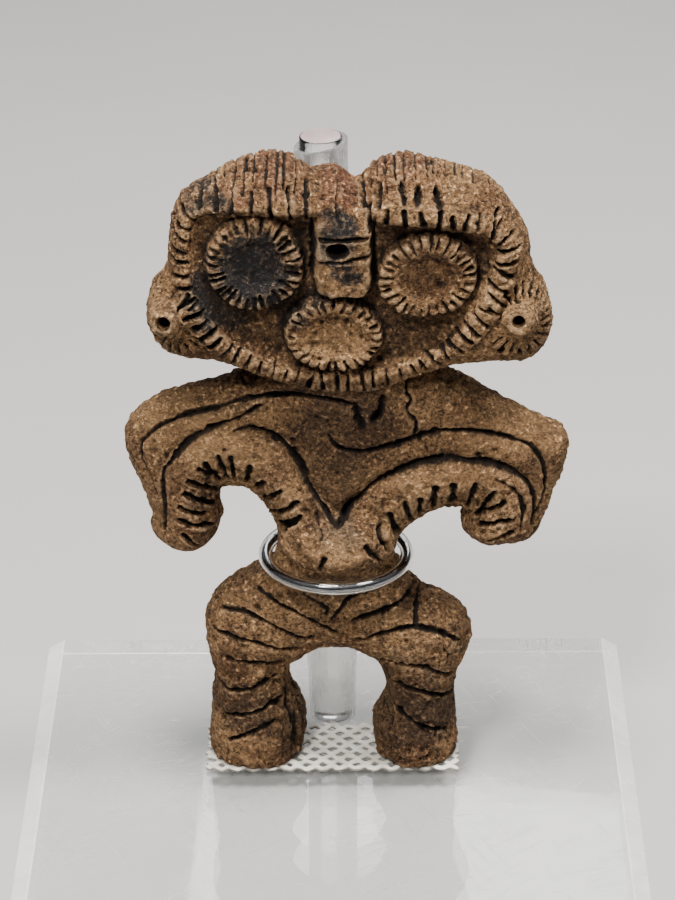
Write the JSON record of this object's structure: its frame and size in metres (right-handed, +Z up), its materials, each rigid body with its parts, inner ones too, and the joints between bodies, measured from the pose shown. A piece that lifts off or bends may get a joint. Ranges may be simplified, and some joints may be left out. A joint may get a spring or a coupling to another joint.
{
  "type": "clay figurine",
  "caption": "Fired clay figurine with disc eyes, a notched face rim and incised limbs, on a knitted grip mat, held by a steel waist ring on a clear post and plate.",
  "frame": {"origin": "bottom centre of the base plate", "axes": "+X to the viewer's right, +Y to the back, +Z up; the figure faces -Y"},
  "size_m": [0.15, 0.15, 0.172],
  "materials": {
    "clear_acrylic": "clear, polished, lightly scratched",
    "white_knit": "soft knitted grip mesh",
    "fired_clay": "gritty unglazed fired clay with soot",
    "clear_vinyl": "soft clear tube, slightly milky",
    "polished_steel": "polished"
  },
  "bodies": {
    "root": {"base_plate": "clear_acrylic", "grip_mat": "white_knit", "dogu_figurine": "fired_clay", "support_post": "clear_acrylic", "post_sleeve": "clear_vinyl", "waist_ring": "polished_steel", "ring_sleeve": "clear_vinyl"}
  },
  "joints": []
}
